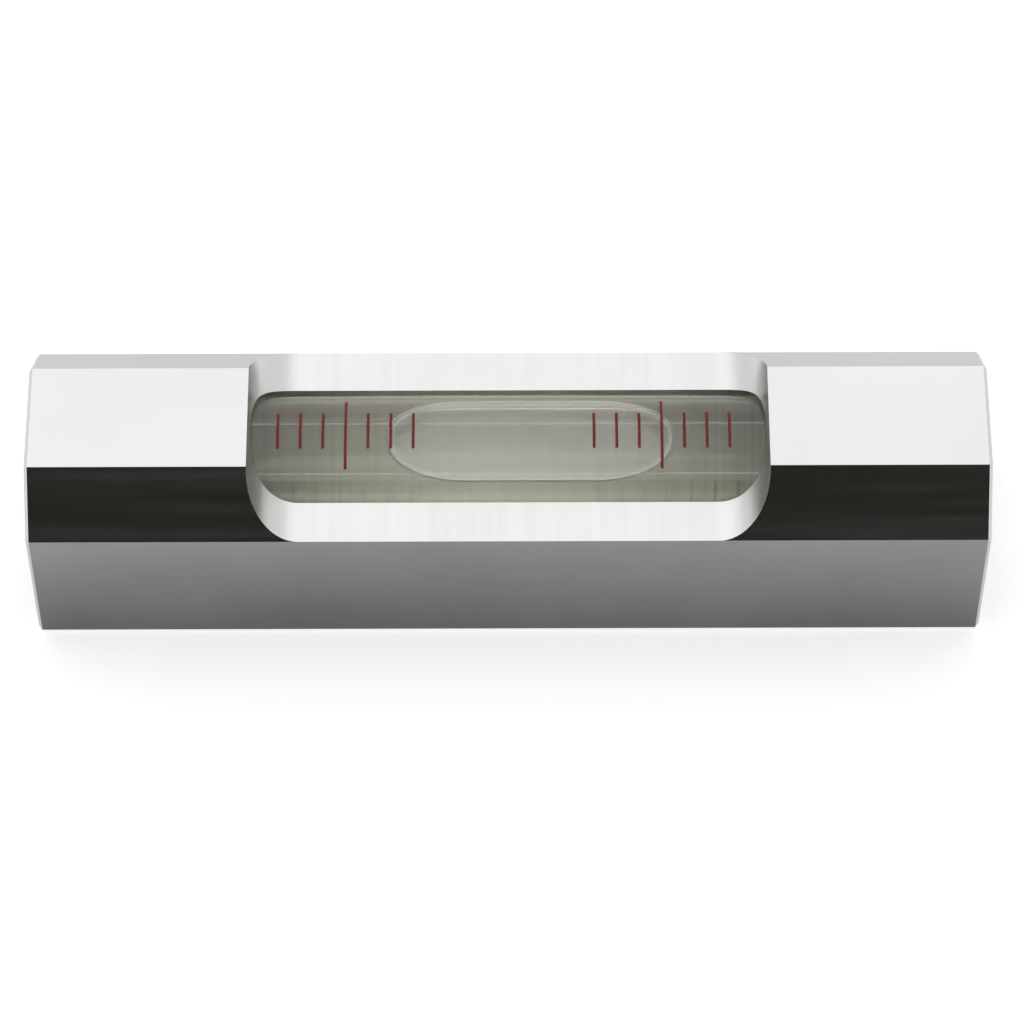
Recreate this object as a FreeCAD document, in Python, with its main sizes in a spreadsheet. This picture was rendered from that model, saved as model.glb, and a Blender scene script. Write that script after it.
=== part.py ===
import FreeCAD, Part
import os
import Sketcher

# Precision machinist level: a small bar level with one graduated vial.
#
# Frame: the origin is the middle of the sole, +X runs along the bar, +Y to its back and +Z up.
# The vial has a frame of its own, at the middle of the vial on the axis of the bore.

SIZES = (
    # The bar
    ("bar_length", 85.0, "along X"),
    ("bar_width", 20.0, "along Y"),
    ("bar_height", 20.0, "from the sole to the top flat"),
    ("shoulder_chamfer", 4.8, "leg of the two 45 degree chamfers beside the top flat"),
    ("sole_edge_break", 0.3, "leg of the chamfers along the sole"),
    ("sole_end_break", 0.6, "leg of the chamfers across the ends of the sole"),
    ("end_break", 0.3, "leg of the chamfers round the end faces and the mouths of the bore"),
    ("recess_length", 46.0, "of the recess milled across the bar, at its top"),
    ("recess_depth", 4.8, "from the top flat to the recess floor"),
    ("recess_corner", 4.5, "radius where the recess floor turns up to its end walls"),
    ("cutter_overrun", 2.0, "how far each cut runs past the face that it leaves by"),
    ("bore_below_floor", 4.05, "from the recess floor down to the axis of the vial's bore"),
    # The vial
    ("vial_diameter", 13.6, "outside of the glass tube"),
    ("vial_wall", 0.9, "of the glass tube, at the middle of its barrel"),
    ("vial_shift", -0.4, "of the middle of the vial from the middle of the bar"),
    ("barrel_rise", 0.05, "of the ground barrel's middle over its ends"),
    ("end_disc_length", 2.0, "thickness of the glass discs that seal the tube"),
    # The bubble
    ("bubble_length", 25.7, "along the vial"),
    ("bubble_width", 7.6, "across the vial"),
    ("bubble_depth", 2.1, "from the crown of the barrel to the flat of the liquid"),
    ("bubble_offset", 2.35, "of the bubble from the middle of the vial"),
    ("bubble_gap", 0.12, "running gap between the bubble and what is round it"),
    # The graduations
    ("line_pitch", 2.0, "from one graduation line to the next"),
    ("line_width", 0.26, "of each line, along the vial"),
    ("line_thickness", 0.04, "of the ink on the glass"),
    ("fine_line_chord", 3.7, "of a short line, across the vial"),
    ("main_line_chord", 7.1, "of a long line, across the vial"),
    ("main_line_spacing", 28.0, "between the two long lines"),
    # The setting and the plugs
    ("setting_thickness", 0.4, "of the collar between the vial and its bore"),
    ("collar_length", 7.0, "of the setting collar over the end of the vial"),
    ("collar_backing", 2.0, "of the setting behind the end of the vial"),
    ("plug_length", 4.0, "of the plugs that close the bore"),
    ("plug_recess", 0.5, "of the plug's face behind the end face of the bar"),
    ("plug_chamfer", 0.4, "leg of the chamfer round the plug's outer face"),
    ("plug_clearance", 4.0, "free bore between a plug and the setting behind it"),
)

LINES_EACH_SIDE = 3
SIDES = (("left", -1), ("right", 1))

# Heights, lengths and radii that several pieces share, as formulas of the sheet.
RECESS_FLOOR = "(Size.bar_height - Size.recess_depth)"
GLASS_OUTSIDE = "(Size.vial_diameter / 2)"
GLASS_INSIDE = f"({GLASS_OUTSIDE} - Size.vial_wall)"
BORE_RADIUS = f"({GLASS_OUTSIDE} + Size.setting_thickness)"
BORE_HEIGHT = f"({RECESS_FLOOR} - Size.bore_below_floor)"
PLUG_INSIDE = "(Size.bar_length / 2 - Size.plug_recess - Size.plug_length)"
VIAL_END = f"({PLUG_INSIDE} - Size.plug_clearance - Size.collar_backing)"
BARREL_ARC = f"(({VIAL_END}^2 + Size.barrel_rise^2) / (2 * Size.barrel_rise))"
FILL_END = f"({VIAL_END} - Size.end_disc_length)"
BUBBLE_FLOOR = f"({GLASS_INSIDE} - Size.bubble_depth)"


def half(alias):
    return f"(Size.{alias} / 2)"


def barrel_radius(place):
    """Inside radius of the glass at a place along the vial, measured from its middle."""
    return f"({GLASS_INSIDE} - {BARREL_ARC} + sqrt({BARREL_ARC}^2 - ({place})^2))"


def make_sheet(doc):
    sheet = doc.addObject("Spreadsheet::Sheet", "Size")
    for row, (alias, value, note) in enumerate(SIZES, start=1):
        sheet.set(f"A{row}", alias)
        sheet.set(f"B{row}", str(value))
        sheet.setAlias(f"B{row}", alias)
        sheet.set(f"C{row}", note)
    doc.recompute()
    return sheet


def make_body(doc, name):
    body = doc.addObject("PartDesign::Body", name)
    body.Label = name
    return body


def origin_plane(body, role):
    return next(item for item in body.Origin.OriginFeatures if item.Role == role)


def value_of(body, formula):
    return float(body.Document.getObject("Size").evalExpression(formula))


def new_sketch(body, role, name):
    sketch = body.newObject("Sketcher::SketchObject", name)
    sketch.AttachmentSupport = [(origin_plane(body, role), "")]
    sketch.MapMode = "FlatFace"
    return sketch


def lock_coordinate(sketch, kind, element, end, formula):
    """Dimension one point of the sketch from its origin along X or Y."""
    value = value_of(sketch, formula)
    index = sketch.addConstraint(Sketcher.Constraint(kind, -1, 1, element, end, value))
    if "Size." in formula:
        sketch.setExpression(f"Constraints[{index}]", formula)


def lock_point(sketch, element, end, place):
    """Dimension one point of the sketch from its origin, each way, by the formulas of its place."""
    for kind, formula in zip(("DistanceX", "DistanceY"), place):
        lock_coordinate(sketch, kind, element, end, formula)


def draw_outline(sketch, corners, arcs=None):
    """Draw a closed outline through corners, each a pair of formulas.

    arcs gives the stretches that are arcs: the number of the corner that the arc starts from, with
    its radius and the side its centre is on (1 is to the left of the way round, -1 to the right).
    A half circle also gives its centre's place along the sketch's X, because its radius says nothing
    that its two ends don't.
    """
    arcs = arcs or {}
    first = sketch.GeometryCount
    points = [FreeCAD.Vector(value_of(sketch, x), value_of(sketch, y), 0) for x, y in corners]
    starts = {}
    for number, start in enumerate(points):
        end = points[(number + 1) % len(points)]
        if number in arcs:
            radius, side = arcs[number][:2]
            sketch.addGeometry(arc_between(start, end, value_of(sketch, radius), side), False)
            starts[number] = 1 if side > 0 else 2
        else:
            sketch.addGeometry(Part.LineSegment(start, end), False)
            starts[number] = 1
    for number in range(len(points)):
        following = (number + 1) % len(points)
        sketch.addConstraint(Sketcher.Constraint(
            "Coincident", first + number, 3 - starts[number], first + following, starts[following]))
    for number, corner in enumerate(corners):
        lock_point(sketch, first + number, starts[number], corner)
    for number, (radius, side, *centre) in arcs.items():
        if centre:
            lock_coordinate(sketch, "DistanceX", first + number, 3, centre[0])
        else:
            index = sketch.addConstraint(
                Sketcher.Constraint("Radius", first + number, value_of(sketch, radius)))
            sketch.setExpression(f"Constraints[{index}]", radius)


def arc_between(start, end, radius, side):
    """The short arc from start to end; side 1 has its centre to the left of that way, -1 to the right."""
    chord = end - start
    middle = (start + end) * 0.5
    normal = FreeCAD.Vector(-chord.y, chord.x, 0).normalize()
    reach = max(radius ** 2 - (chord.Length / 2) ** 2, 0.0) ** 0.5
    crown = middle + normal * (side * (reach - radius))
    return Part.Arc(start, crown, end)


def draw_circle(sketch, radius):
    """A circle on the sketch's origin, its radius a formula."""
    sketch.addGeometry(Part.Circle(FreeCAD.Vector(), FreeCAD.Vector(0, 0, 1), value_of(sketch, radius)))
    number = sketch.GeometryCount - 1
    sketch.addConstraint(Sketcher.Constraint("Coincident", number, 3, -1, 1))
    index = sketch.addConstraint(Sketcher.Constraint("Radius", number, value_of(sketch, radius)))
    sketch.setExpression(f"Constraints[{index}]", radius)


def pad(body, sketch, name, length):
    """Pad the sketch by half the length to each side of its plane."""
    feature = body.newObject("PartDesign::Pad", name)
    feature.Profile = sketch
    feature.Midplane = True
    feature.setExpression("Length", length)
    return feature


def pocket(body, sketch, name):
    """Cut the sketch right through the body, to both sides of its plane."""
    feature = body.newObject("PartDesign::Pocket", name)
    feature.Profile = sketch
    feature.Midplane = True
    feature.Type = "ThroughAll"
    return feature


def revolve(body, sketch, name):
    """Turn the sketch about its own X axis."""
    feature = body.newObject("PartDesign::Revolution", name)
    feature.Profile = sketch
    feature.ReferenceAxis = (sketch, ["H_Axis"])
    return feature


def place_along_bore(body, place):
    """Put a body on the axis of the bore, at a place along X."""
    body.setExpression(".Placement.Base.x", place)
    body.setExpression(".Placement.Base.z", BORE_HEIGHT)


def edges_where(feature, test):
    """Names of the feature's edges whose middle and ends pass the test."""
    names = []
    for number, edge in enumerate(feature.Shape.Edges, start=1):
        points = edge.discretize(5)
        if all(test(point) for point in points):
            names.append(f"Edge{number}")
    return names


def make_level_body(doc):
    """The bar: the shouldered section, the recess across it, the bore along it and its broken edges."""
    body = make_body(doc, "level_body")

    section = new_sketch(body, "YZ_Plane", "bar_section")
    side = half("bar_width")
    shoulder = "(Size.bar_height - Size.shoulder_chamfer)"
    draw_outline(section, (
        (f"-{side} + Size.sole_edge_break", "0"),
        (f"{side} - Size.sole_edge_break", "0"),
        (side, "Size.sole_edge_break"),
        (side, shoulder),
        (f"{side} - Size.shoulder_chamfer", "Size.bar_height"),
        (f"-{side} + Size.shoulder_chamfer", "Size.bar_height"),
        (f"-{side}", shoulder),
        (f"-{side}", "Size.sole_edge_break"),
    ))
    pad(body, section, "bar", "Size.bar_length")

    outline = new_sketch(body, "XZ_Plane", "recess_outline")
    end = half("recess_length")
    turn = f"({RECESS_FLOOR} + Size.recess_corner)"
    above = "(Size.bar_height + Size.cutter_overrun)"
    draw_outline(outline, (
        (f"-{end}", above),
        (f"-{end}", turn),
        (f"-{end} + Size.recess_corner", RECESS_FLOOR),
        (f"{end} - Size.recess_corner", RECESS_FLOOR),
        (end, turn),
        (end, above),
    ), arcs={1: ("Size.recess_corner", 1), 3: ("Size.recess_corner", 1)})
    pocket(body, outline, "recess")

    mouth = new_sketch(body, "YZ_Plane", "bore_section")
    draw_circle(mouth, BORE_RADIUS)
    mouth.setExpression(".AttachmentOffset.Base.y", BORE_HEIGHT)
    pocket(body, mouth, "bore")

    corner = new_sketch(body, "XZ_Plane", "sole_end_corners")
    end = half("bar_length")
    for sign in ("-", ""):
        way = "+" if sign else "-"
        draw_outline(corner, (
            (f"{sign}{end}", "Size.sole_end_break"),
            (f"{sign}{end} {way} Size.sole_end_break", "0"),
            (f"{sign}{end}", "0"),
        ))
    last = pocket(body, corner, "sole_end_breaks")
    doc.recompute()

    half_length = value_of(body, end)
    low = value_of(body, "Size.sole_end_break") + 1e-4
    names = edges_where(last, lambda point: abs(abs(point.x) - half_length) < 1e-4)
    sole = edges_where(last, lambda point: point.z < low)
    breaks = body.newObject("PartDesign::Chamfer", "end_breaks")
    breaks.Base = (last, [name for name in names if name not in sole])
    breaks.setExpression("Size", "Size.end_break")
    return body


def make_vial_tube(doc):
    """The glass tube, ground inside to a barrel so that the bubble seeks its crown."""
    body = make_body(doc, "vial_tube")
    wall = new_sketch(body, "XZ_Plane", "tube_wall")
    inside = barrel_radius(VIAL_END)
    draw_outline(wall, (
        (f"-{VIAL_END}", inside),
        (VIAL_END, inside),
        (VIAL_END, GLASS_OUTSIDE),
        (f"-{VIAL_END}", GLASS_OUTSIDE),
    ), arcs={0: (BARREL_ARC, -1)})
    revolve(body, wall, "tube")
    place_along_bore(body, "Size.vial_shift")
    return body


def make_vial_end(doc, name, sign):
    """A glass disc sealed into one end of the tube."""
    body = make_body(doc, f"vial_end_{name}")
    face = new_sketch(body, "YZ_Plane", "disc_face")
    draw_circle(face, barrel_radius(VIAL_END))
    pad(body, face, "disc", "Size.end_disc_length")
    place_along_bore(body, f"Size.vial_shift + {sign} * ({VIAL_END} - {half('end_disc_length')})")
    return body


def draw_bubble_plan(sketch, gap):
    """The bubble seen from above: straight sides and round ends, wider all round by the gap."""
    round_end = f"({half('bubble_width')} + {gap})"
    straight = f"({half('bubble_length')} - {half('bubble_width')})"
    draw_outline(sketch, (
        (f"-{straight}", f"-{round_end}"),
        (straight, f"-{round_end}"),
        (straight, round_end),
        (f"-{straight}", round_end),
    ), arcs={1: (round_end, 1, straight), 3: (round_end, 1, f"-{straight}")})


def make_spirit_fill(doc):
    """The liquid: it fills the tube between the end discs, apart from the hollow of the bubble."""
    body = make_body(doc, "spirit_fill")
    section = new_sketch(body, "YZ_Plane", "fill_section")
    draw_circle(section, barrel_radius(FILL_END))
    pad(body, section, "fill", f"2 * {FILL_END}")

    plan = new_sketch(body, "XY_Plane", "hollow_plan")
    draw_bubble_plan(plan, "Size.bubble_gap")
    plan.setExpression(".AttachmentOffset.Base.x", "Size.bubble_offset")
    plan.setExpression(".AttachmentOffset.Base.z", f"{BUBBLE_FLOOR} - Size.bubble_gap")
    hollow = pocket(body, plan, "bubble_hollow")
    hollow.Midplane = False
    hollow.Reversed = True
    place_along_bore(body, "Size.vial_shift")
    return body


def make_bubble(doc):
    """The bubble: round like the glass above, flat like the liquid below, with round ends."""
    body = make_body(doc, "bubble")
    section = new_sketch(body, "YZ_Plane", "bubble_section")
    crown = f"({GLASS_INSIDE} - Size.bubble_gap)"
    edge = f"sqrt({crown}^2 - {BUBBLE_FLOOR}^2)"
    draw_outline(section, (
        (edge, BUBBLE_FLOOR),
        (f"-{edge}", BUBBLE_FLOOR),
    ), arcs={0: (crown, 1)})
    pad(body, section, "crown", "Size.bubble_length")

    ring = new_sketch(body, "XY_Plane", "round_ends")
    beyond = f"({half('bubble_length')} + Size.cutter_overrun)"
    draw_bubble_plan(ring, "0")
    draw_outline(ring, (
        (f"-{beyond}", f"-{GLASS_OUTSIDE}"),
        (beyond, f"-{GLASS_OUTSIDE}"),
        (beyond, GLASS_OUTSIDE),
        (f"-{beyond}", GLASS_OUTSIDE),
    ))
    pocket(body, ring, "sides")
    place_along_bore(body, "Size.vial_shift + Size.bubble_offset")
    return body


def make_graduation(doc, name, chord, place):
    """One inked line, bent round the crown of the glass."""
    body = make_body(doc, name)
    section = new_sketch(body, "YZ_Plane", "line_section")
    ink = f"({GLASS_OUTSIDE} + Size.line_thickness)"
    end = half(chord)
    draw_outline(section, (
        (end, f"sqrt({GLASS_OUTSIDE}^2 - {end}^2)"),
        (end, f"sqrt({ink}^2 - {end}^2)"),
        (f"-{end}", f"sqrt({ink}^2 - {end}^2)"),
        (f"-{end}", f"sqrt({GLASS_OUTSIDE}^2 - {end}^2)"),
    ), arcs={1: (ink, 1), 3: (GLASS_OUTSIDE, -1)})
    pad(body, section, "line", "Size.line_width")
    place_along_bore(body, f"Size.vial_shift + {place}")
    return body


def make_graduations(doc):
    """Seven lines at each end of the scale: a long one with the short ones on both sides of it."""
    made = []
    for side, sign in SIDES:
        for number, step in enumerate(range(-LINES_EACH_SIDE, LINES_EACH_SIDE + 1), start=1):
            chord = "fine_line_chord" if step else "main_line_chord"
            place = f"{sign} * {half('main_line_spacing')} + {step} * Size.line_pitch"
            made.append(make_graduation(doc, f"graduation_{side}_{number}", chord, place))
    return made


def make_setting(doc, name, sign):
    """The setting that holds one end of the vial in the bore: a collar with a back."""
    body = make_body(doc, f"setting_{name}")
    profile = new_sketch(body, "XZ_Plane", "setting_profile")
    back = f"({VIAL_END} + Size.collar_backing)"
    front = f"({VIAL_END} - Size.collar_length)"
    draw_outline(profile, (
        (f"{sign} * {front}", GLASS_OUTSIDE),
        (f"{sign} * {front}", BORE_RADIUS),
        (f"{sign} * {back}", BORE_RADIUS),
        (f"{sign} * {back}", "0"),
        (f"{sign} * {VIAL_END}", "0"),
        (f"{sign} * {VIAL_END}", GLASS_OUTSIDE),
    ))
    revolve(body, profile, "setting")
    place_along_bore(body, "Size.vial_shift")
    return body


def make_plug(doc, name, sign):
    """A plug pressed into one mouth of the bore, its face a little behind the end of the bar."""
    body = make_body(doc, f"plug_{name}")
    profile = new_sketch(body, "XZ_Plane", "plug_profile")
    face = f"({half('bar_length')} - Size.plug_recess)"
    draw_outline(profile, (
        (f"{sign} * {PLUG_INSIDE}", "0"),
        (f"{sign} * {PLUG_INSIDE}", BORE_RADIUS),
        (f"{sign} * ({face} - Size.plug_chamfer)", BORE_RADIUS),
        (f"{sign} * {face}", f"{BORE_RADIUS} - Size.plug_chamfer"),
        (f"{sign} * {face}", "0"),
    ))
    revolve(body, profile, "plug")
    place_along_bore(body, "0")
    return body


def check(doc, bodies):
    doc.recompute()
    for item in doc.Objects:
        if "Invalid" in item.State or "Error" in item.State:
            raise RuntimeError(f"{item.Name}: {item.State}")
    for body in bodies:
        if body.Shape.isNull() or not body.Shape.isValid():
            raise RuntimeError(f"{body.Label} has no valid shape")
        box = body.Shape.BoundBox
        print(f"{body.Label}: {body.Shape.Volume:.2f} mm3, {len(body.Shape.Solids)} solid,"
              f" x {box.XMin:.2f}..{box.XMax:.2f} y {box.YMin:.2f}..{box.YMax:.2f}"
              f" z {box.ZMin:.2f}..{box.ZMax:.2f}")


def main():
    doc = FreeCAD.newDocument("machinist_level")
    make_sheet(doc)
    bodies = [make_level_body(doc), make_vial_tube(doc), make_spirit_fill(doc), make_bubble(doc)]
    for name, sign in SIDES:
        bodies.append(make_vial_end(doc, name, sign))
        bodies.append(make_setting(doc, name, sign))
        bodies.append(make_plug(doc, name, sign))
    bodies.extend(make_graduations(doc))
    check(doc, bodies)
    os.makedirs("parts", exist_ok=True)
    for body in bodies:
        body.Shape.exportStep(f"parts/{body.Label}.step")


main()
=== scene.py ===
import math

import bmesh
import bpy
from mathutils import Matrix, Vector


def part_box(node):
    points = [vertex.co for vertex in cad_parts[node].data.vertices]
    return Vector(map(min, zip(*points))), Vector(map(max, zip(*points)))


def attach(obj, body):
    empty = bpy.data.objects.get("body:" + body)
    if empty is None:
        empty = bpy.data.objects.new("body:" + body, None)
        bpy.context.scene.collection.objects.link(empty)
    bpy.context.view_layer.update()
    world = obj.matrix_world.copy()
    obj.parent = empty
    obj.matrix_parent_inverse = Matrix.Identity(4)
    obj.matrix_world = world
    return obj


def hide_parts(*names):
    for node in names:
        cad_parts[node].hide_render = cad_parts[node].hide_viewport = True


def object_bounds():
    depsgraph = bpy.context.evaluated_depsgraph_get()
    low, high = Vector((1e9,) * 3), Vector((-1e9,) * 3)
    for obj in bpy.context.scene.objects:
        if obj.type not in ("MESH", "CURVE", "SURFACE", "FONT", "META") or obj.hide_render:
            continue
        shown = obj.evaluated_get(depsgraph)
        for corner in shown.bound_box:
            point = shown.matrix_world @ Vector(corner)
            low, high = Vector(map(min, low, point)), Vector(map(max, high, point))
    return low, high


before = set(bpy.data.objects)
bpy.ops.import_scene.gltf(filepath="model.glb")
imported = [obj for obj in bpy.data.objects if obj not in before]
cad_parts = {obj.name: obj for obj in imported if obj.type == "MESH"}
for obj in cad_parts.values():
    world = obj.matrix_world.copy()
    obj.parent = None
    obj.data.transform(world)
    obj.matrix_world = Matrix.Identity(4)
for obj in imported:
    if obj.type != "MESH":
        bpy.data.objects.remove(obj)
cad_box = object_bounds()

MM = 0.001                              # all lengths are in metres, unless they say otherwise

# ---------------------------------------------------------------- camera and light

CAMERA_ELEVATION = math.radians(57.7)   # above the level, looking along +Y
CAMERA_DISTANCE = 437.3 * MM
CAMERA_LENS = 171.0                     # mm, on a sensor of SENSOR_WIDTH
SENSOR_WIDTH = 36.0                     # mm
CAMERA_ROLL = math.radians(0.16)
CAMERA_CLIP = 10.0 * MM                 # nothing nearer than this is drawn
AIM_SIDE = 0.32 * MM                    # the aim is a little off the bar's middle
AIM_BELOW = 3.10 * MM                   # and this far down the picture from it

WHITE = (1.0, 1.0, 1.0, 1.0)
SKY_LEVEL = 0.80                        # the pale studio, as it lights the object
FLOOR_COLOUR = (0.82, 0.82, 0.82)
FLOOR_LIFT = 0.40                       # brings the lit floor to white where it is seen
FLOOR_REACH = 3.0                       # from the middle to each side
FLOOR_DROP = 0.01 * MM                  # keeps the floor clear of the bar's sole
KEY_LEVEL = 0.40                        # what the softbox overhead adds to the sky behind it
KEY_DIRECTION = (-0.17, 0.23, 0.96)
KEY_SIZE = (0.94, 0.96)
KEY_DISTANCE = 0.70
FLAG_COLOUR = (0.027, 0.027, 0.022)     # dark card in front, which the front chamfer mirrors
FLAG_DIRECTION = (0.0, -0.817, 0.576)
FLAG_SIZE = (0.26, 0.085)
FLAG_DISTANCE = 0.25
LIGHT_BOUNCES = 32                      # light crosses the glass and the liquid twice or more

# ---------------------------------------------------------------- looks of the materials

NOISE_SPAN = (0.30, 0.70)               # a noise's values hardly leave this span
WHOLE_SPAN = (0.0, 1.0)
METAL_EDGE_TINT = (0.73, 0.73, 0.73, 1.0)  # machined metal brightens less at a glancing view
PAINTED_SHADE_BELOW = 15.0 * MM                  # painted shade darkens the bar's sides from this height to the sole
BORE_END_SHADE = 26.0 * MM                   # painted shade: the bore's pale wall darkens to its end tone this far from the middle and painted shade darkens it from this far behind the axis to as far before it
BORE_FRONT_SHADE = 6.0 * MM                   # and darkens from this far behind the axis to as far before it

GLASS_IOR = 1.50
SPIRIT_IOR = 1.36
BUBBLE_IOR = 1.22                       # less than the liquid's, which keeps the bubble's rim faint
BUBBLE_HIGHLIGHT_SLANT = (0.05, 0.60)               # slant of view, 0 to 1, where the painted highlight round the bubble's rim begins and where it is full
HIGHLIGHT_CLEARNESS = 0.40                    # share of the light that the full painted highlight lets through
DRAWN_AND_HIGHLIGHT_LINES = (-3.9 * MM, 0.6 * MM)   # places across the tube of faint pale lines that run along it: drawing lines, and a painted highlight
LINE_EDGE = (0.03 * MM, 0.10 * MM)      # such a line's soft edge lies this far from its middle
LINE_CLEARNESS = 0.86                   # share of the light that it lets through

# ---------------------------------------------------------------- sizes of the pieces

EDGE_BREAK = 0.10 * MM                  # the bar's edges, just taken off with a stone
EDGE_SEGMENTS = 3
EDGE_ANGLE = math.radians(20.0)         # a sharper corner than this is an edge
FLAT_ANGLE = math.radians(0.5)          # faces nearer in angle than this are one face
BAR_WELD = 0.001 * MM                   # points of the bar closer than this are one point
TURNED_WELD = 0.0005 * MM               # and of the vial, the liquid and the bubble
POLISHED, GROUND, BORE, MILLED = range(4)  # the bar's material slots
BORE_SLACK = 0.02 * MM                  # a face this near the bore is part of it
OUTSIDE_SLACK = 0.01 * MM               # and one this near the bar's box is one of its outer sides
TOP_SLACK = 0.05 * MM                   # the recess lies further below the top than this
LEVEL_NORMAL = 0.01                     # its faces lean no further to front or back than this
RECESS_REACH = 0.6                      # and lie within this share of the bar's half length

SWEEP_STEPS = 160                       # steps round the glass
SHARP_ANGLE = math.radians(35.0)        # turned corners sharper than this stay sharp
BARREL_RISE = 0.05 * MM                 # of the ground barrel's middle over its ends
BARREL_OVER_FILL = 0.044 * MM           # and of its middle over the liquid's solid
BARREL_STEPS = 24
GLASS_RIM_SHARE = 1 / 3                 # radius of the tube's rounded rims, as a share of its wall
GLASS_RIM_STEPS = 6
SPIRIT_FILM = 0.01 * MM                 # keeps the liquid's surface off the glass

BUBBLE_FILM = 0.05 * MM                 # liquid left between the bubble and the glass
BUBBLE_SAG = 0.35 * MM                  # the liquid's flat lies this far below the solid's
BUBBLE_END = 7.2 * MM                   # length of each rounded end
BUBBLE_SQUARENESS = 2.15                # 2 would be an ellipse
BUBBLE_BULGE = 1.2 * MM                 # how far the meniscus bulges round the edge
BUBBLE_STEPS = 128                      # steps round the bubble, seen from above
INNER_STEPS = 10                        # from its spine to the edge of its flat
MENISCUS_STEPS = 16                     # and round the meniscus, from crown to flat

vial_low, vial_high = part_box("vial_tube")
fill_low, fill_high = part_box("spirit_fill")
vial_middle = [(low + high) / 2 for low, high in zip(vial_low, vial_high)]
axis_height = vial_middle[2]            # of the bore and the vial
vial_inside = (fill_high[1] - fill_low[1]) / 2 + BARREL_OVER_FILL


# ---------------------------------------------------------------- node tools

class Tree:
    """Short names for building a node tree."""

    def __init__(self, tree):
        self.tree = tree

    def give(self, socket, value):
        """Give a socket a value, or link another node's output to it."""
        if isinstance(value, bpy.types.NodeSocket):
            self.tree.links.new(value, socket)
        else:
            socket.default_value = value

    def add(self, kind, sockets=None, **settings):
        """A new node; sockets holds what its inputs get, by name or number."""
        node = self.tree.nodes.new(kind)
        for name, value in settings.items():
            setattr(node, name, value)
        for name, value in (sockets or {}).items():
            self.give(node.inputs[name], value)
        return node

    def calculate(self, operation, first, second=0.0):
        sockets = {0: first, 1: second}
        return self.add("ShaderNodeMath", sockets, operation=operation).outputs[0]

    def spread(self, source, low, high, first=0.0, last=1.0, smooth=False):
        """Map low to high onto first to last."""
        sockets = {"Value": source, "From Min": low, "From Max": high, "To Min": first, "To Max": last}
        kind = "SMOOTHSTEP" if smooth else "LINEAR"
        return self.add("ShaderNodeMapRange", sockets, interpolation_type=kind).outputs["Result"]

    def seen(self):
        """1 for what the camera sees, straight or in metal or glass, and 0 for light on a surface."""
        rays = self.add("ShaderNodeLightPath").outputs
        total = rays["Is Camera Ray"]
        for kind in ("Is Glossy Ray", "Is Transmission Ray"):
            total = self.calculate("MAXIMUM", total, rays[kind])
        return total


class Finish(Tree):
    """One new material, and the node tree round its shader."""

    def __init__(self, name):
        self.material = bpy.data.materials.new(name)
        self.material.use_nodes = True
        super().__init__(self.material.node_tree)
        self.shader = self.tree.nodes["Principled BSDF"]

    def set(self, **values):
        """Give sockets of the shader their values or links."""
        for name, value in values.items():
            self.give(self.shader.inputs[name.replace("_", " ")], value)

    def place(self):
        """The object's own coordinates, in metres."""
        return self.add("ShaderNodeTexCoord").outputs["Object"]

    def axis(self, name):
        """One of those coordinates."""
        return self.add("ShaderNodeSeparateXYZ", {0: self.place()}).outputs[name]

    def noise(self, scale, detail, stretch=(1.0, 1.0, 1.0)):
        """Noise; an axis with a small stretch is the one that its patches are drawn out along."""
        mapping = self.add("ShaderNodeMapping", {"Vector": self.place(), "Scale": stretch})
        sockets = {"Vector": mapping.outputs["Vector"], "Scale": scale, "Detail": detail}
        return self.add("ShaderNodeTexNoise", sockets).outputs["Fac"]

    def tones(self, source, first, last, span=NOISE_SPAN):
        """Run from one colour or grey level to another, over a span of the source."""
        ramp = self.add("ShaderNodeValToRGB", {"Fac": source})
        for element, place, level in zip(ramp.color_ramp.elements, span, (first, last)):
            element.position = place
            element.color = (level, level, level, 1.0) if isinstance(level, float) else (*level, 1.0)
        return ramp.outputs["Color"]

    def mix(self, factor, first, last, **settings):
        sockets = {"Factor": factor, "A": first, "B": last}
        return self.add("ShaderNodeMix", data_type="RGBA", sockets=sockets, **settings).outputs["Result"]

    def bump(self, source, strength, distance):
        sockets = {"Height": source, "Strength": strength, "Distance": distance}
        self.set(Normal=self.add("ShaderNodeBump", sockets).outputs["Normal"])


# ---------------------------------------------------------------- materials

def polished_metal():
    """Polished faces of the bar: a faint grain along it, and slow changes of tone."""
    nodes = Finish("polished_metal")
    grain = nodes.noise(900.0, detail=3.0, stretch=(0.04, 1.0, 1.0))
    cloud = nodes.noise(60.0, detail=3.0)
    nodes.set(Metallic=1.0, Specular_Tint=METAL_EDGE_TINT,
              Base_Color=nodes.tones(cloud, (0.555, 0.557, 0.555), (0.585, 0.587, 0.585)),
              Roughness=nodes.tones(grain, 0.10, 0.15))
    nodes.bump(grain, strength=0.04, distance=0.02 * MM)
    return nodes.material


def ground_metal_painted_shade():
    """The long sides, ends and sole, as the grinding wheel left them: fine lines along the bar. Painted
    shade, for the shaded floor that they mirror, makes them darker than the polished faces, most towards
    the sole."""
    nodes = Finish("ground_metal_painted_shade")
    lines = nodes.noise(2200.0, detail=4.0, stretch=(0.012, 1.0, 1.0))
    cloud = nodes.noise(70.0, detail=4.0)
    # painted shade: dark tones for the shaded floor that the sides mirror, the lower one darker still
    upper = nodes.tones(cloud, (0.228, 0.228, 0.227), (0.26, 0.26, 0.259))
    painted_shade_lower = nodes.tones(cloud, (0.104, 0.104, 0.104), (0.125, 0.125, 0.125))
    rise = nodes.spread(nodes.axis("Z"), 0.0, PAINTED_SHADE_BELOW)
    nodes.set(Metallic=1.0, Base_Color=nodes.mix(rise, painted_shade_lower, upper),
              Roughness=nodes.tones(lines, 0.26, 0.36))
    nodes.bump(lines, strength=0.06, distance=0.02 * MM)
    return nodes.material


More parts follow.
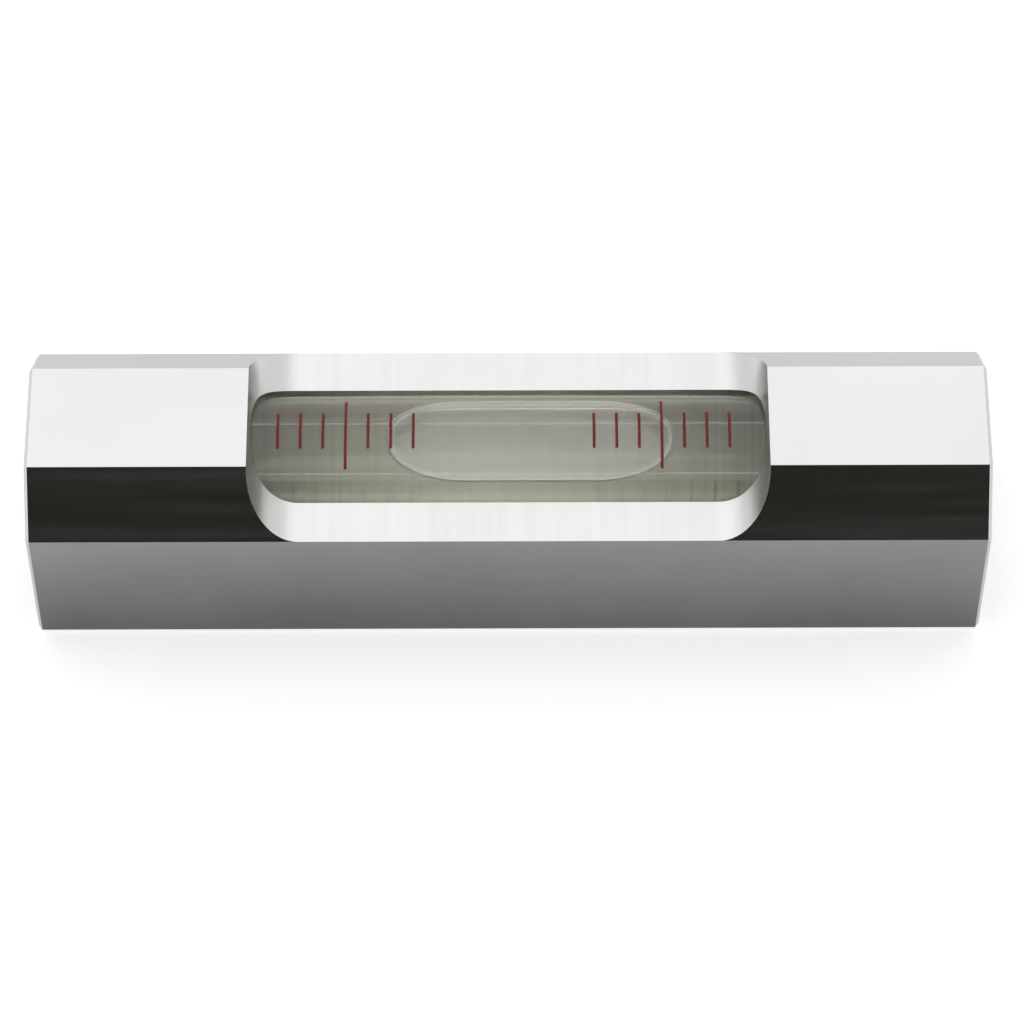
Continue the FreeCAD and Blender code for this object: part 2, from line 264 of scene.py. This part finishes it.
def milled_metal():
    """The recess, as the milling cutter left it: fine lines across the bar."""
    nodes = Finish("milled_metal")
    lines = nodes.noise(1600.0, detail=3.0, stretch=(1.0, 0.015, 0.3))
    cloud = nodes.noise(80.0, detail=3.0)
    nodes.set(Metallic=1.0, Specular_Tint=METAL_EDGE_TINT,
              Base_Color=nodes.tones(cloud, (0.60, 0.60, 0.595), (0.63, 0.63, 0.625)),
              Roughness=nodes.tones(lines, 0.28, 0.38))
    nodes.bump(lines, strength=0.08, distance=0.02 * MM)
    return nodes.material


def bore_wall():
    """The bore's wall: matt and pale behind the scale, with painted shade: darker towards the ends of the
    window, and darker on its front side."""
    nodes = Finish("bore_wall")
    rings = nodes.noise(2500.0, detail=2.0, stretch=(1.0, 0.02, 0.02))
    pale = nodes.tones(rings, (0.64, 0.63, 0.565), (0.70, 0.69, 0.62))
    end_shade_tone = nodes.tones(rings, (0.30, 0.294, 0.259), (0.38, 0.373, 0.331))
    # painted shade: darker towards the window's ends and on the wall's front side
    painted_end_shade = nodes.spread(nodes.calculate("ABSOLUTE", nodes.axis("X")), 0.0, BORE_END_SHADE, smooth=True)
    depth = nodes.spread(nodes.axis("Y"), -BORE_FRONT_SHADE, BORE_FRONT_SHADE)
    painted_front_shade = nodes.tones(depth, 0.62, 1.0, WHOLE_SPAN)
    nodes.set(Base_Color=nodes.mix(1.0, nodes.mix(painted_end_shade, pale, end_shade_tone), painted_front_shade, blend_type="MULTIPLY"),
              Roughness=nodes.tones(rings, 0.55, 0.70))
    nodes.bump(rings, strength=0.15, distance=0.03 * MM)
    return nodes.material


def vial_glass(name, ratio, lines=()):
    """Clear glass. The ratio is its index over that of what touches the surface, and lines are the
    faint pale ones along the tube: drawing lines of the glass, and a painted highlight for light streaked
    along it."""
    nodes = Finish(name)
    haze = nodes.noise(400.0, detail=2.0, stretch=(0.05, 1.0, 1.0))
    clear = 1.0
    # painted highlight: each line is partly matt and pale, for a streak of light along the tube
    for line in lines:
        distance = nodes.calculate("ABSOLUTE", nodes.calculate("SUBTRACT", nodes.axis("Y"), line))
        beside = nodes.spread(distance, *LINE_EDGE, LINE_CLEARNESS, 1.0, smooth=True)
        clear = nodes.calculate("MINIMUM", beside, clear)
    nodes.set(IOR=ratio, Roughness=0.0, Transmission_Weight=clear,
              Base_Color=nodes.tones(haze, (0.965, 0.975, 0.96), (0.985, 0.99, 0.98)))
    nodes.bump(haze, strength=0.05, distance=0.02 * MM)
    return nodes.material


def spirit():
    """The liquid's faint tint; the inside of the glass, which it wets, bends the light."""
    nodes = Finish("spirit")
    drift = nodes.noise(120.0, detail=2.0)
    nodes.set(Transmission_Weight=1.0, IOR=1.0, Roughness=0.0,
              Base_Color=nodes.tones(drift, (0.935, 0.93, 0.885), (0.955, 0.95, 0.91)))
    return nodes.material


def bubble_surface():
    """The skin between liquid and vapour, whose faces point into the vapour: clear where it is seen
    square on, and pale round the rim: a painted highlight for the light that the meniscus gathers."""
    nodes = Finish("bubble_surface")
    drift = nodes.noise(200.0, detail=2.0)
    clear = nodes.tones(drift, (0.93, 0.92, 0.945), (0.945, 0.935, 0.96))
    # painted highlight: the pale colour round the rim
    pale = nodes.tones(drift, (0.89, 0.89, 0.86), (0.91, 0.91, 0.89))
    turned = nodes.add("ShaderNodeLayerWeight", {"Blend": 0.5})
    rim = nodes.spread(turned.outputs["Facing"], *BUBBLE_HIGHLIGHT_SLANT)
    nodes.set(IOR=BUBBLE_IOR, Roughness=0.0, Base_Color=nodes.mix(rim, clear, pale),
              Transmission_Weight=nodes.spread(rim, 0.0, 1.0, 1.0, HIGHLIGHT_CLEARNESS))
    return nodes.material


def red_ink():
    """Ink on the glass: matt, and a little patchy."""
    nodes = Finish("red_ink")
    patches = nodes.noise(2600.0, detail=4.0)
    nodes.set(Roughness=0.5, Specular_IOR_Level=0.2,
              Base_Color=nodes.tones(patches, (0.11, 0.008, 0.006), (0.18, 0.015, 0.011)))
    nodes.bump(patches, strength=0.2, distance=0.01 * MM)
    return nodes.material


def setting_cement():
    """Pale gritty cement."""
    nodes = Finish("setting_cement")
    grit = nodes.noise(1800.0, detail=6.0)
    nodes.set(Roughness=0.9, Base_Color=nodes.tones(grit, (0.58, 0.57, 0.52), (0.72, 0.71, 0.66)))
    nodes.bump(grit, strength=0.4, distance=0.05 * MM)
    return nodes.material


def plug_metal():
    """The turned face of a plug: rings about the bore's axis."""
    nodes = Finish("plug_metal")
    centre = nodes.add("ShaderNodeMapping", {"Vector": nodes.place(), "Scale": (0.0, 1.0, 1.0),
                                             "Location": (0.0, 0.0, -axis_height)})
    sockets = {"Vector": centre.outputs["Vector"], "Scale": 900.0, "Distortion": 0.6, "Detail": 3.0}
    rings = nodes.add("ShaderNodeTexWave", sockets, wave_type="RINGS", rings_direction="SPHERICAL")
    turned = rings.outputs["Fac"]
    nodes.set(Metallic=1.0, Base_Color=nodes.tones(turned, 0.56, 0.66, WHOLE_SPAN),
              Roughness=nodes.tones(turned, 0.22, 0.34, WHOLE_SPAN))
    nodes.bump(turned, strength=0.2, distance=0.02 * MM)
    return nodes.material


# ---------------------------------------------------------------- mesh tools

def new_object(name, data, *materials):
    thing = bpy.data.objects.new(name, data)
    bpy.context.scene.collection.objects.link(thing)
    for material in materials:
        data.materials.append(material)
    return thing


def smooth_data(name, mesh):
    """End the work on a mesh: shaded smooth, as an object's data."""
    for face in mesh.faces:
        face.smooth = True
    data = bpy.data.meshes.new(name)
    mesh.to_mesh(data)
    mesh.free()
    return data


def join_columns(mesh, columns, around):
    """Join each column of points to the following one, and the last to the first; around says that
    each column's own last point joins its first."""
    for step, column in enumerate(columns):
        following = columns[(step + 1) % len(columns)]
        for number in range(len(column) if around else len(column) - 1):
            other = (number + 1) % len(column)
            mesh.faces.new((column[number], column[other], following[other], following[number]))
    bmesh.ops.remove_doubles(mesh, verts=mesh.verts, dist=TURNED_WELD)


def lathe(name, outline, material, closed=True):
    """Turn an outline of (place along X, radius) about the vial's axis."""
    mesh = bmesh.new()
    rings = []
    for step in range(SWEEP_STEPS):
        angle = 2 * math.pi * step / SWEEP_STEPS
        side, up = math.sin(angle), math.cos(angle)
        rings.append([mesh.verts.new((vial_middle[0] + along, radius * side, axis_height + radius * up))
                      for along, radius in outline])
    join_columns(mesh, rings, closed)
    bmesh.ops.recalc_face_normals(mesh, faces=mesh.faces)
    data = smooth_data(name, mesh)
    data.set_sharp_from_angle(angle=SHARP_ANGLE)
    return new_object(name, data, material)


# ---------------------------------------------------------------- pieces

def bar_finish(face, low, high, bore_radius):
    """The material slot of one face of the bar, whose box is low to high."""
    middle = face.calc_center_median()
    reach = max(math.hypot(vert.co.y, vert.co.z - axis_height) for vert in face.verts)
    side = min(min(middle[axis] - low[axis], high[axis] - middle[axis]) for axis in (0, 1))
    if reach < bore_radius + BORE_SLACK:
        return BORE
    if min(side, middle.z - low[2]) < OUTSIDE_SLACK:
        return GROUND
    faces_up = abs(face.normal.y) < LEVEL_NORMAL and face.normal.z > 0.0
    if faces_up and middle.z < high[2] - TOP_SLACK and abs(middle.x) < RECESS_REACH * high[0]:
        return MILLED
    return POLISHED


def make_bar():
    """The bar with its edges just broken, from the frame's own solid."""
    mesh = bmesh.new()
    mesh.from_mesh(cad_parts["level_body"].data)
    bmesh.ops.remove_doubles(mesh, verts=mesh.verts, dist=BAR_WELD)
    bmesh.ops.dissolve_limit(mesh, angle_limit=FLAT_ANGLE, verts=mesh.verts, edges=mesh.edges)
    mesh.normal_update()
    low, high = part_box("level_body")
    plug_low, plug_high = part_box("plug_left")
    for face in mesh.faces:
        face.material_index = bar_finish(face, low, high, (plug_high[1] - plug_low[1]) / 2)
    bar = new_object("bar", smooth_data("bar", mesh), polished_metal(), ground_metal_painted_shade(), bore_wall(),
                     milled_metal())
    edges = bar.modifiers.new("broken_edges", "BEVEL")
    edges.width = EDGE_BREAK
    edges.segments = EDGE_SEGMENTS
    edges.limit_method = "ANGLE"
    edges.angle_limit = EDGE_ANGLE
    edges.harden_normals = True
    normals = bar.modifiers.new("flat_faces", "WEIGHTED_NORMAL")
    normals.keep_sharp = True
    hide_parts("level_body")
    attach(bar, "level")


def make_vial(dry, wet):
    """The glass tube: fire-polished rims, and an inside ground to a barrel and wetted by the liquid."""
    half_length = (vial_high[0] - vial_low[0]) / 2
    outside = (vial_high[1] - vial_low[1]) / 2
    rim = (outside - vial_inside) * GLASS_RIM_SHARE
    turns = [math.radians(90 * step / GLASS_RIM_STEPS) for step in range(GLASS_RIM_STEPS + 1)]
    places = [2 * step / BARREL_STEPS - 1 for step in range(BARREL_STEPS + 1)]
    rounded = [(half_length - rim + rim * math.sin(turn), outside - rim + rim * math.cos(turn))
               for turn in turns]
    outline = [(-along, radius) for along, radius in rounded]
    outline += [(half_length * place, vial_inside - BARREL_RISE * place ** 2) for place in places]
    outline += reversed(rounded)
    tube = lathe("vial", outline, dry)
    tube.data.materials.append(wet)
    for face in tube.data.polygons:
        radius = math.hypot(face.center.y, face.center.z - axis_height)
        face.material_index = 1 if radius < vial_inside + rim / 2 else 0
    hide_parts("vial_tube")
    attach(tube, "level")


def make_spirit():
    """The liquid between the end discs; the bubble's own surface lies inside it."""
    half_length = (fill_high[0] - fill_low[0]) / 2
    radius = vial_inside - SPIRIT_FILM
    outline = [(-half_length, 0.0), (-half_length, radius), (half_length, radius), (half_length, 0.0)]
    liquid = lathe("spirit", outline, spirit(), closed=False)
    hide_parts("spirit_fill")
    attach(liquid, "level")


def bubble_outline(half_length, half_width):
    """The rim from above, as (root on the spine, point, outward direction)."""
    straight = half_length - BUBBLE_END
    power = 2 / BUBBLE_SQUARENESS
    rim = []
    for step in range(BUBBLE_STEPS):
        angle = 2 * math.pi * (step + 0.5) / BUBBLE_STEPS
        along, across = math.cos(angle), math.sin(angle)
        point = Vector((math.copysign(straight + BUBBLE_END * abs(along) ** power, along),
                        math.copysign(half_width * abs(across) ** power, across), 0.0))
        rim.append((Vector((math.copysign(straight, along), 0.0, 0.0)), point))
    outline = []
    for step, (root, point) in enumerate(rim):
        run = rim[(step + 1) % BUBBLE_STEPS][1] - rim[step - 1][1]
        outline.append((root, point, Vector((run.y, -run.x, 0.0)).normalized()))
    return outline


def bubble_column(root, point, outward, floor):
    """One section of the bubble, from its crown round the meniscus and back along its flat."""
    crown = vial_inside - BUBBLE_FILM

    def top(y):
        return math.sqrt(crown ** 2 - min(abs(y), crown) ** 2)

    edge = point - outward * BUBBLE_BULGE
    inner = [root.lerp(edge, place / INNER_STEPS) for place in range(INNER_STEPS)]
    rise = top(edge.y) - floor
    column = [(spot.x, spot.y, top(spot.y)) for spot in inner]
    for place in range(MENISCUS_STEPS + 1):
        lean = math.pi * (0.5 - place / MENISCUS_STEPS)
        outer = edge + outward * (BUBBLE_BULGE * math.cos(lean))
        height = floor + rise * (0.5 + 0.5 * math.sin(lean))
        column.append((outer.x, outer.y, min(height, top(outer.y))))
    return column + [(spot.x, spot.y, floor) for spot in reversed(inner)]


def make_bubble():
    """The bubble: round against the glass, flat on the liquid, with a bulging meniscus all round."""
    low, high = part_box("bubble")
    middle = (low[0] + high[0]) / 2
    floor = low[2] - axis_height - BUBBLE_SAG
    mesh = bmesh.new()
    columns = [[mesh.verts.new((x + middle, y, z + axis_height)) for x, y, z in
                bubble_column(root, point, outward, floor)]
               for root, point, outward in bubble_outline((high[0] - low[0]) / 2, (high[1] - low[1]) / 2)]
    join_columns(mesh, columns, around=False)
    bmesh.ops.holes_fill(mesh, edges=[edge for edge in mesh.edges if edge.is_boundary], sides=0)
    bmesh.ops.recalc_face_normals(mesh, faces=mesh.faces)
    bmesh.ops.reverse_faces(mesh, faces=mesh.faces)
    skin = new_object("bubble_skin", smooth_data("bubble_skin", mesh), bubble_surface())
    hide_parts("bubble")
    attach(skin, "bubble")


def dress(material, *names):
    """Give CAD nodes a finished material."""
    for name in names:
        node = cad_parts[name]
        node.data.materials.clear()
        node.data.materials.append(material)


# ---------------------------------------------------------------- stage

def card(name, wide, high, colour):
    """A flat matt card, with its nodes."""
    corners = [(-wide, -high, 0), (wide, -high, 0), (wide, high, 0), (-wide, high, 0)]
    data = bpy.data.meshes.new(name)
    data.from_pydata(corners, [], [(0, 1, 2, 3)])
    nodes = Finish(name + "_card")
    nodes.set(Roughness=0.9, Specular_IOR_Level=0.0, Base_Color=(*colour, 1.0))
    return new_object(name, data, nodes.material), nodes


def facing(thing, direction, distance):
    """Put a card or lamp that far off in a direction, facing the object."""
    towards = Vector(direction).normalized()
    thing.matrix_world = (Matrix.Translation(towards * distance)
                          @ towards.to_track_quat("Z", "Y").to_matrix().to_4x4())


def make_floor():
    """A pale floor; what it gives off is only seen, and lights nothing."""
    floor, nodes = card("floor", FLOOR_REACH, FLOOR_REACH, FLOOR_COLOUR)
    lift = nodes.calculate("MULTIPLY", nodes.seen(), FLOOR_LIFT)
    glow = nodes.add("ShaderNodeEmission", {"Strength": lift})
    both = nodes.add("ShaderNodeAddShader", {0: nodes.shader.outputs[0], 1: glow.outputs[0]})
    nodes.give(nodes.tree.nodes["Material Output"].inputs["Surface"], both.outputs[0])
    floor.location.z = -FLOOR_DROP


def make_world():
    """A plain pale studio, which shows as white."""
    world = bpy.data.worlds.new("studio")
    bpy.context.scene.world = world
    world.use_nodes = True
    nodes = Tree(world.node_tree)
    background = world.node_tree.nodes["Background"]
    nodes.give(background.inputs["Color"], WHITE)
    nodes.give(background.inputs["Strength"], nodes.spread(nodes.seen(), 0.0, 1.0, SKY_LEVEL, 1.0))


def make_key():
    """The softbox; a lamp's radiance is its power over four times its area."""
    data = bpy.data.lights.new("softbox", "AREA")
    data.shape = "RECTANGLE"
    data.size, data.size_y = KEY_SIZE
    data.energy = 4 * KEY_LEVEL * KEY_SIZE[0] * KEY_SIZE[1]
    lamp = new_object("softbox", data)
    facing(lamp, KEY_DIRECTION, KEY_DISTANCE)
    lamp.visible_camera = False


def make_flag():
    """The dark card, which the camera doesn't see."""
    flag, _ = card("flag", FLAG_SIZE[0] / 2, FLAG_SIZE[1] / 2, FLAG_COLOUR)
    facing(flag, FLAG_DIRECTION, FLAG_DISTANCE)
    flag.visible_camera = False


def make_camera():
    sight = Vector((0.0, math.cos(CAMERA_ELEVATION), -math.sin(CAMERA_ELEVATION)))
    up = Vector((0.0, math.sin(CAMERA_ELEVATION), math.cos(CAMERA_ELEVATION)))
    low, high = cad_box
    aim = Vector((AIM_SIDE, 0.0, (low[2] + high[2]) / 2)) - up * AIM_BELOW
    data = bpy.data.cameras.new("camera")
    data.lens = CAMERA_LENS
    data.sensor_width = SENSOR_WIDTH
    data.clip_start = CAMERA_CLIP
    camera = new_object("camera", data)
    turn = sight.to_track_quat("-Z", "Y").to_matrix().to_4x4()
    roll = Matrix.Rotation(-CAMERA_ROLL, 4, "Z")
    camera.matrix_world = Matrix.Translation(aim - sight * CAMERA_DISTANCE) @ turn @ roll
    bpy.context.scene.camera = camera


# ---------------------------------------------------------------- the level

glass = vial_glass("vial_glass", GLASS_IOR, DRAWN_AND_HIGHLIGHT_LINES)
make_bar()
make_vial(glass, vial_glass("wet_glass", GLASS_IOR / SPIRIT_IOR))
make_spirit()
make_bubble()
dress(glass, "vial_end_left", "vial_end_right")
dress(setting_cement(), "setting_left", "setting_right")
dress(plug_metal(), "plug_left", "plug_right")
dress(red_ink(), *[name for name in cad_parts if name.startswith("graduation_")])

make_floor()
make_world()
make_key()
make_flag()
make_camera()

scene = bpy.context.scene
scene.view_settings.view_transform = "Standard"
scene.cycles.blur_glossy = 0.0
scene.cycles.max_bounces = LIGHT_BOUNCES
scene.cycles.transmission_bounces = LIGHT_BOUNCES
